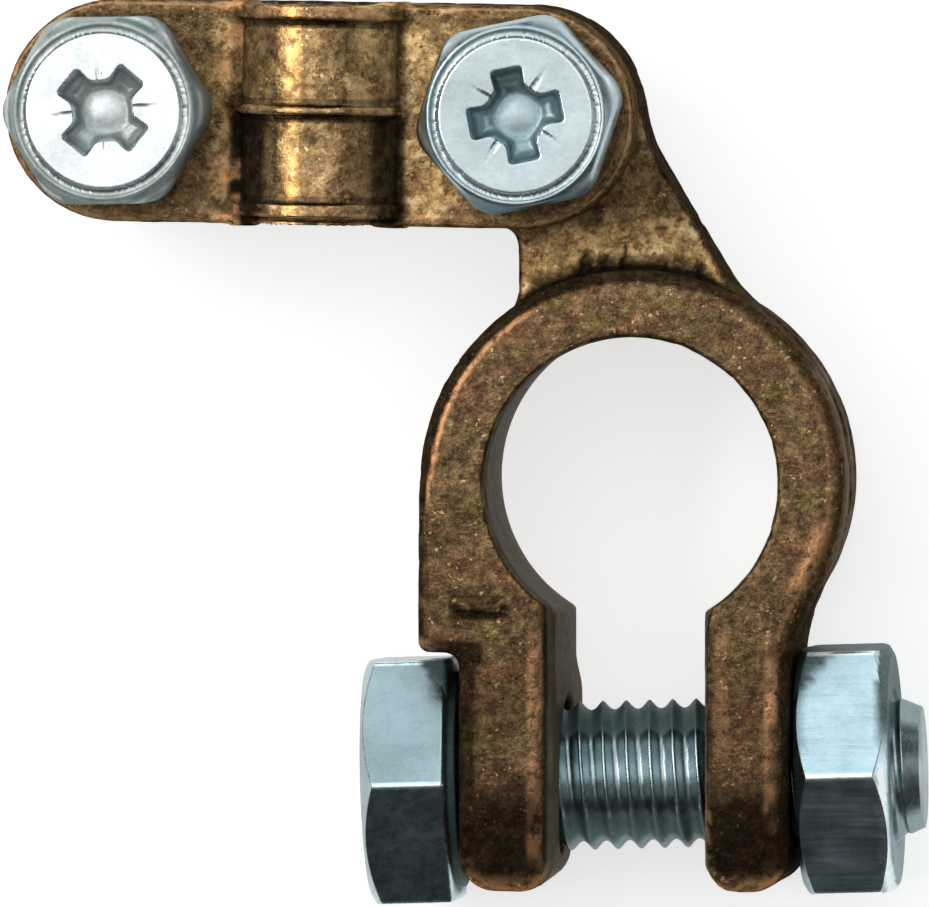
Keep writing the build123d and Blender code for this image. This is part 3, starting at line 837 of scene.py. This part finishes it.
def zinc_material(name, streak=(2.0, 2.0, 2.0), tint=(0.46, 0.57, 0.62), rough=(0.20, 0.30), amount=0.35, worn_and_lit_colour=(0.92, 0.95, 0.96), deep=(0.30, 0.36, 0.34)):
    m = Nodes(name)
    big = m.noise(0.45, 4, 0.55)
    mid = m.noise(1.6, 4, 0.6)
    fine = m.noise(5.0, 5, 0.6)
    lines = m.noise(1.0, 4, 0.65, m.vmul(m.pos, streak))
    lo, hi = tuple(0.84 * c for c in tint), tuple(min(1.14 * c, 1.0) for c in tint)
    col = m.ramp(big, [(0.34, lo), (0.5, tint), (0.66, hi)])
    col = m.mix(m.remap(lines, 0.60, 0.36, 0.0, amount), col, m.times(col, (0.66, 0.72, 0.74)))
    col = m.mix(m.remap(fine, 0.56, 0.72, 0, 0.16), col, m.times(col, (0.74, 0.78, 0.80)))
    # painted shade in the threads, in the recesses, under the rims and on faces turned from the light
    shade = m.math("ADD", m.attr("shade"), m.remap(fine, 0.3, 0.7, -0.08, 0.08), clamp=True)
    col = m.mix(shade, m.times(col, deep), col)
    # edge: wear plus painted highlights on upper edges and thread crests
    edge = m.math("MULTIPLY", m.attr("edge"), m.remap(mid, 0.34, 0.50, 0.6, 1.0))
    col = m.mix(edge, col, worn_and_lit_colour)
    m.link(col, m.bsdf.inputs["Base Color"])
    m.link(m.remap(shade, 0.05, 0.60, 0.10, 1.0), m.bsdf.inputs["Metallic"])
    m.bsdf.inputs["Specular IOR Level"].default_value = 0.15
    r = m.math("ADD", m.remap(big, 0.3, 0.7, *rough), m.math("ADD", m.remap(lines, 0.3, 0.7, 0, 0.08), m.remap(shade, 0.0, 1.0, 0.20, 0.0)))
    m.link(m.mix(shade, (0.16, 0.21, 0.19), (1.0, 1.0, 1.0)), m.bsdf.inputs["Specular Tint"])
    m.link(r, m.bsdf.inputs["Roughness"])
    h = m.math("ADD", m.math("MULTIPLY", lines, 0.7), m.math("MULTIPLY", fine, 0.3))
    m.link(m.bump(h, 0.5, 0.00004), m.bsdf.inputs["Normal"])
    return m.mat


CAST = cast_material("cast_brass_body")
CAST_CAP = cast_material("cast_brass_cap", 0.55)
ZINC_NUT = zinc_material("zinc_nut", (0.20, 4.0, 4.0), (0.50, 0.64, 0.70), amount=0.45, deep=(0.10, 0.14, 0.12))
ZINC_BOLT = zinc_material("zinc_bolt", (2.0, 2.0, 2.0), (0.31, 0.385, 0.41), rough=(0.22, 0.26), worn_and_lit_colour=(0.74, 0.92, 0.95), deep=(0.16, 0.25, 0.22))
ZINC_SCREW_L = zinc_material("zinc_screw_left", (2.0, 2.0, 2.0), (0.84, 0.88, 0.89), deep=(0.21, 0.27, 0.25))
ZINC_SCREW_R = zinc_material("zinc_screw_right", (2.0, 2.0, 2.0), (0.50, 0.585, 0.61), deep=(0.30, 0.47, 0.51))


def zinc_zones(me, fn):
    p = coords(me)
    shade, edge = fn(p)
    put(me, "shade", np.clip(shade, 0, 1))
    put(me, "edge", np.clip(edge, 0, 1))


def bolt_frame(p):
    q = p - np.array([0.0, BOLT_Y0, BOLT_Z])
    return q @ BY, q @ BZ, q @ AX          # across (up in plan), height, along


def bolt_zone(p):
    u, w, s = bolt_frame(p)
    r = np.hypot(u, w)
    head = s < -9.45
    # edge: wear plus a painted highlight along the head's upper edges
    edge = head * sstep(r, 7.37, 7.43) * (w > 0)
    edge = np.maximum(edge, 0.5 * head * (r > 6.0) * sstep(s, -10.25, -10.05) * (s < -9.9))
    # on the shank: painted shade in the roots and on the flanks that face up and down in the view
    root = sstep(r, 3.20, 3.85)
    c = u / np.maximum(r, 0.1)
    shank = (0.70 + 0.30 * root) * (1 - 0.85 * sstep(c, 0.50, 0.72)) * (1 - 0.75 * sstep(-c, 0.35, 0.62) * (1 - 0.5 * sstep(-c, 0.85, 0.95)))
    shank = np.where(s > 13.8, np.maximum(shank, 0.75), shank)
    # painted highlight along the thread's top
    thread_top_highlight = sstep(0.42 - np.abs(c + 0.05), 0.0, 0.25)
    # painted shade: a dark patch on the head's upper facet by the shoulder
    spot = head * sstep(u + 0.9 * (s + 10.6) + 0.7 * (vnoise(p, 0.7, 83) - 0.5), 5.15, 5.45) * (s > -11.2) * (w > 0)
    # painted shade on the washer face in the gap under the head
    shade = np.where(head, np.where(r < 5.9, np.where(s > -9.97, 0.10, 1.0), 1.0), shank)
    shade = shade * (1 - 0.88 * spot)
    return shade, np.maximum(edge * (1 - spot), (~head) * np.maximum(0.42 * sstep(r, 3.88, 3.96) * (np.abs(c) < 0.5), 0.32 * thread_top_highlight))


def nut_zone(p):
    u, w, s = bolt_frame(p)
    r = np.hypot(u, w)
    edge = sstep(r, 7.37, 7.43) * (w > 0)
    mid = (s > 9.1) & (s < 13.2)
    end = (s > 13.2)
    # painted highlight on the end's rim; painted shade on the far end, the seat side, the top and lower facets and the
    # corner by the shoulder
    rim = 0.55 * sstep(s, 12.6, 13.1) * (w > 0) * (u < 2.0) * (r > 6.4)
    shade = np.where(end & (u > 0.5), 1 - 0.9 * sstep(u, 0.5, 3.0), 1.0)
    shade = np.where(s < 9.1, 0.60, shade)
    shade = np.where((u > 6.42) & (w < 3.85), 0.12, shade)
    shade = np.where((u < -0.05) & (r > 5.5) & mid & (w > 0), 0.70, shade)
    corner = sstep(u - 1.1 * (s - 10.2) + 0.8 * (vnoise(p, 0.8, 85) - 0.5), 5.6, 6.0) * (s < 11.0) * (w > 0)
    shade = shade * (1 - 0.8 * corner)
    shade = np.where(end & (r < 6.3), np.minimum(shade, 0.55), shade)
    # corner above: a painted shadow patch by the clamp's shoulder
    return shade, np.maximum(edge * mid, rim * end * (u < 0.5))


def screw_zone(cx, cy, left):
    def f(p):
        x, y, z = p[:, 0] - cx, p[:, 1] - cy, p[:, 2] - CAP_Z1
        r = np.hypot(x, y)
        az = np.degrees(np.arctan2(y, x)) % 360
        # painted shade: the groove round the disc, dark crescents upper left and lower, a broken band on the left
        # screw, the recess, the hexagon's corners and the underside
        rim = sstep(r, 4.12, 4.22)
        groove = rim * (1 - sstep(r, 4.50, 4.72))
        if left:
            up = sstep(np.cos(np.radians(az - 127)), 0.35, 0.75)
            down = sstep(np.cos(np.radians(az - 240)), 0.45, 0.85) * sstep(r, 4.75, 5.1)
            shade = 1 - rim * (0.62 + 0.22 * (vnoise(p, 1.6, 79) - 0.5)) - groove * 0.45 * up - 0.30 * down * rim
        else:
            up = sstep(np.cos(np.radians(az - 130)), 0.1, 0.6)
            down = sstep(np.cos(np.radians(az - 262)), 0.5, 0.85)
            shade = 1 - rim * 0.20 - groove * 0.55 * up - rim * 0.6 * down * sstep(r, 4.8, 5.1)
        if left:
            band = sstep(r, 4.78, 4.88) * (1 - sstep(r, 5.02, 5.12)) * sstep(vnoise(p, 1.5, 77), 0.40, 0.55)
            shade = shade - 0.55 * band
        inner = (r < 2.9) * (1 - sstep(z, 3.2, 3.8))
        shade = shade - inner * (0.62 if left else 0.55) * (0.45 + 0.55 * sstep(r, 0.4, 1.1))
        shade = shade - (0.12 if left else 0.12) * sstep(r, 5.0, 5.5)
        shade = np.where(z < 0.3, 0.5, shade)
        # painted highlights on the bead's outer lip and on the disc's edge
        lip = 0.55 * np.exp(-((r - 5.22) / 0.08) ** 2) * (z > 1.5) * sstep(vnoise(p, 1.7, 78), 0.48, 0.62)
        return shade, np.maximum(0.8 * (np.abs(r - 4.10) < 0.07) * (z > 3.7) * (0.3 if left else 0.7), lip)
    return f


# ------------------------------------------------------------------ pieces
body_me = field_mesh("clamp_body", "clamp_body_cast", 0.24, body_shape, rough_body, zones=body_zones)
make("clamp_body_cast", body_me, "clamp_body", "clamp_body", CAST)

cap_me = field_mesh("cable_cap", "cable_cap_cast", 0.14, cap_shape, rough_cap, h_edge=0.35, zones=cap_zones)
make("cable_cap_cast", cap_me, "cable_cap", "cable_cap", CAST_CAP)

for node, (cx, cy), ht, rt, mat in (("cap_screw_left", SCREW_L, 1.0, 51.0, ZINC_SCREW_L), ("cap_screw_right", SCREW_R, 12.0, 12.0, ZINC_SCREW_R)):
    f = lambda p, cx=cx, cy=cy, ht=ht, rt=rt: screw_head_shape(p, cx, cy, ht, rt)
    head = field_mesh(node, node + "_head", 0.085, f, None, cut_z=CAP_Z1, h_edge=0.12)
    rings = thread_rings(2.97, 1.0, 0.56, 0.0, 9.95, 2.3, 0.0, n=72, per=16)
    rings = [np.column_stack([r[:, 0] + cx, -r[:, 1] + cy, CAP_Z1 + 0.05 - r[:, 2]]) for r in rings]
    shank = grid_mesh(node + "_shank", rings)
    me = joined(node + "_zinc", [head, shank])
    zinc_zones(me, screw_zone(cx, cy, node.endswith("left")))
    make(node + "_zinc", me, node, node, mat)

# clamp bolt: hexagon head with a washer face, threaded shank
s_seat = -9.53 / AX[0]
head_h, pad_t = 5.05, 0.40
hex_h = head_h - pad_t
ol = hex_outline(12.99, 0.22, 0.0)
z0 = s_seat - head_h
rings = [ring_at(ol, 0.3, z0 + 0.01, "circle"), ring_at(ol, 3.0, z0 + 0.01, "circle"), ring_at(ol, 5.9, z0 + 0.01, "circle")]
ends, e0 = end_rings(ol, z0 + 0.01, 6.2, -1)
rings += ends
zt = z0 + hex_h
# light chamfer on the bearing side of the hexagon
lo = e0 + 0.12
hi = np.full(len(ol), zt - 0.30)
rings += [np.column_stack([ol, lo + (hi - lo) * j / 8]) for j in range(1, 9)]
nrm = np.linalg.norm(ol, axis=1)
rings.append(np.column_stack([ol, np.full(len(ol), zt - 0.22)]))
rings.append(np.column_stack([ol * (1 - 0.05 / nrm[:, None]), np.full(len(ol), zt - 0.15)]))
rings.append(np.column_stack([ol * (1 - 0.16 / nrm[:, None]), np.full(len(ol), zt - 0.03)]))
rings.append(np.column_stack([ol * (1 - 0.24 / nrm[:, None]), np.full(len(ol), zt)]))
rings += [ring_at(ol, 5.88, zt, "circle"), ring_at(ol, 5.80, zt + 0.02, "circle"), ring_at(ol, 5.78, zt + 0.10, "circle"),
          ring_at(ol, 5.78, zt + 0.30, "circle"), ring_at(ol, 5.70, zt + 0.38, "circle"), ring_at(ol, 5.55, zt + 0.40, "circle"),
          ring_at(ol, 3.5, zt + 0.40, "circle")]
bolt_head = grid_mesh("bolt_head", [on_bolt(r) for r in rings])
rings = thread_rings(3.985, 1.25, 0.60, s_seat - 0.2, s_seat + 24.68, 3.25, 0.32, n=96, per=22, taper=0.42)
shank = grid_mesh("bolt_shank", [on_bolt(np.column_stack([r[:, 0], r[:, 1], r[:, 2]])) for r in rings])
bolt_me = joined("clamp_bolt_zinc", [bolt_head, shank])
zinc_zones(bolt_me, bolt_zone)
make("clamp_bolt_zinc", bolt_me, "clamp_bolt", "clamp_bolt", ZINC_BOLT)

# clamp nut
n0 = 8.64 / AX[0]
nh = 5.05
ol = hex_outline(12.99, 0.25, 1.0)
a_rings, e_a = end_rings(ol, n0 + 0.01, 6.2, -1)
b_rings, e_b = end_rings(ol, n0 + nh - 0.01, 6.2, 1)
rings = [ring_at(ol, 4.03, n0 + 0.5, "circle"), ring_at(ol, 4.25, n0 + 0.05, "circle"), ring_at(ol, 4.35, n0 + 0.01, "circle"), ring_at(ol, 5.9, n0 + 0.01, "circle")]
rings += a_rings
lo, hi = e_a + 0.12, e_b - 0.12
rings += [np.column_stack([ol, lo + (hi - lo) * j / 9]) for j in range(1, 9)]
rings += b_rings[::-1]
rings += [ring_at(ol, 5.9, n0 + nh - 0.01, "circle"), ring_at(ol, 4.40, n0 + nh - 0.01, "circle"), ring_at(ol, 4.28, n0 + nh - 0.06, "circle"), ring_at(ol, 4.03, n0 + nh - 0.5, "circle")]
nut = tube_mesh("nut_tmp", [on_bolt(r) for r in rings])
nut_me = joined("clamp_nut_zinc", [nut])
zinc_zones(nut_me, nut_zone)
make("clamp_nut_zinc", nut_me, "clamp_nut", "clamp_nut", ZINC_NUT)

# ------------------------------------------------------------------ stage, light, camera
def plane(name, size, loc):
    bm = bmesh.new()
    bmesh.ops.create_grid(bm, x_segments=1, y_segments=1, size=size)
    me = bpy.data.meshes.new(name)
    bm.to_mesh(me); bm.free()
    ob = bpy.data.objects.new(name, me)
    ob.location = loc
    scene.collection.objects.link(ob)
    return ob


floor = plane("floor", 3.0, (0, 0, -0.00002))
fm = bpy.data.materials.new("floor")
fm.use_nodes = True
fb = fm.node_tree.nodes["Principled BSDF"]
fb.inputs["Base Color"].default_value = (0.60, 0.60, 0.60, 1)
fb.inputs["Emission Color"].default_value = (1, 1, 1, 1)
fb.inputs["Emission Strength"].default_value = 0.68
fb.inputs["Roughness"].default_value = 0.9
fb.inputs["Specular IOR Level"].default_value = 0.1
floor.data.materials.append(fm)
floor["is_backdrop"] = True


def area(name, loc, target, size, power, color=(1, 1, 1), size_y=None):
    l = bpy.data.lights.new(name, "AREA")
    l.energy = power
    l.color = color
    l.size = size
    if size_y:
        l.shape = "RECTANGLE"
        l.size_y = size_y
    ob = bpy.data.objects.new(name, l)
    ob.location = loc
    d = Vector(target) - Vector(loc)
    ob.rotation_mode = "QUATERNION"
    ob.rotation_quaternion = d.to_track_quat("-Z", "Y")
    ob.visible_camera = False
    scene.collection.objects.link(ob)
    return ob


C = (-0.009, 0.0, 0.008)


def panel(name, loc, target, sx, sy, radiance, color=(1, 1, 1)):
    return area(name, loc, target, sx, radiance * math.pi * sx * sy, color, sy)


panel("overhead", (-0.06, 0.22, 0.50), (-0.06, 0.22, 0.0), 0.80, 0.60, 1.35)
panel("back", (0.02, 0.62, 0.36), C, 0.80, 0.26, 1.70, (0.88, 0.98, 1.0))
ka, kz = math.radians(171), math.radians(36)
panel("key", (0.6 * math.sin(kz) * math.cos(ka), 0.6 * math.sin(kz) * math.sin(ka), 0.6 * math.cos(kz)), C, 0.34, 0.055, 12.5, (1.0, 0.96, 0.90))
panel("rim", (0.6 * -0.700, 0.6 * 0.440, 0.6 * 0.560), C, 0.24, 0.08, 9.0, (1.0, 0.93, 0.84))
panel("right", (0.60, -0.05, 0.25), C, 0.30, 0.20, 1.0, (0.95, 0.98, 1.0))
panel("front", (0.0, -0.30, 0.55), C, 0.40, 0.20, 0.35)

w = bpy.data.worlds.new("world")
scene.world = w
w.use_nodes = True
bg = w.node_tree.nodes["Background"]
bg.inputs[0].default_value = (0.80, 0.84, 0.86, 1)
bg.inputs[1].default_value = 0.06

scene.view_settings.view_transform = "Standard"
scene.view_settings.look = "None"

cam_d = bpy.data.cameras.new("camera")
cam = bpy.data.objects.new("camera", cam_d)
scene.collection.objects.link(cam)
DIST = 1.5
PX_MM = 18.70
tilt, az = math.radians(5.5), math.radians(20.0)
back = Vector((math.sin(tilt) * math.cos(az), math.sin(tilt) * math.sin(az), math.cos(tilt)))
# the picture's middle lies over this point, at the height given
target = Vector((-9.31, 1.48, 10.0)) * MM
cam.location = target + back * DIST
up = Vector((0, 1, 0))
zax = back
xax = up.cross(zax).normalized()
yax = zax.cross(xax)
from mathutils import Matrix
rot = Matrix((xax, yax, zax)).transposed()
cam.rotation_mode = "QUATERNION"
cam.rotation_quaternion = rot.to_quaternion()
cam_d.sensor_width = 36.0
cam_d.lens = 36.0 * DIST / (929 / PX_MM * MM)
cam_d.clip_start, cam_d.clip_end = 0.05, 10
scene.camera = cam

bpy.context.view_layer.update()
lo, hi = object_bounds()
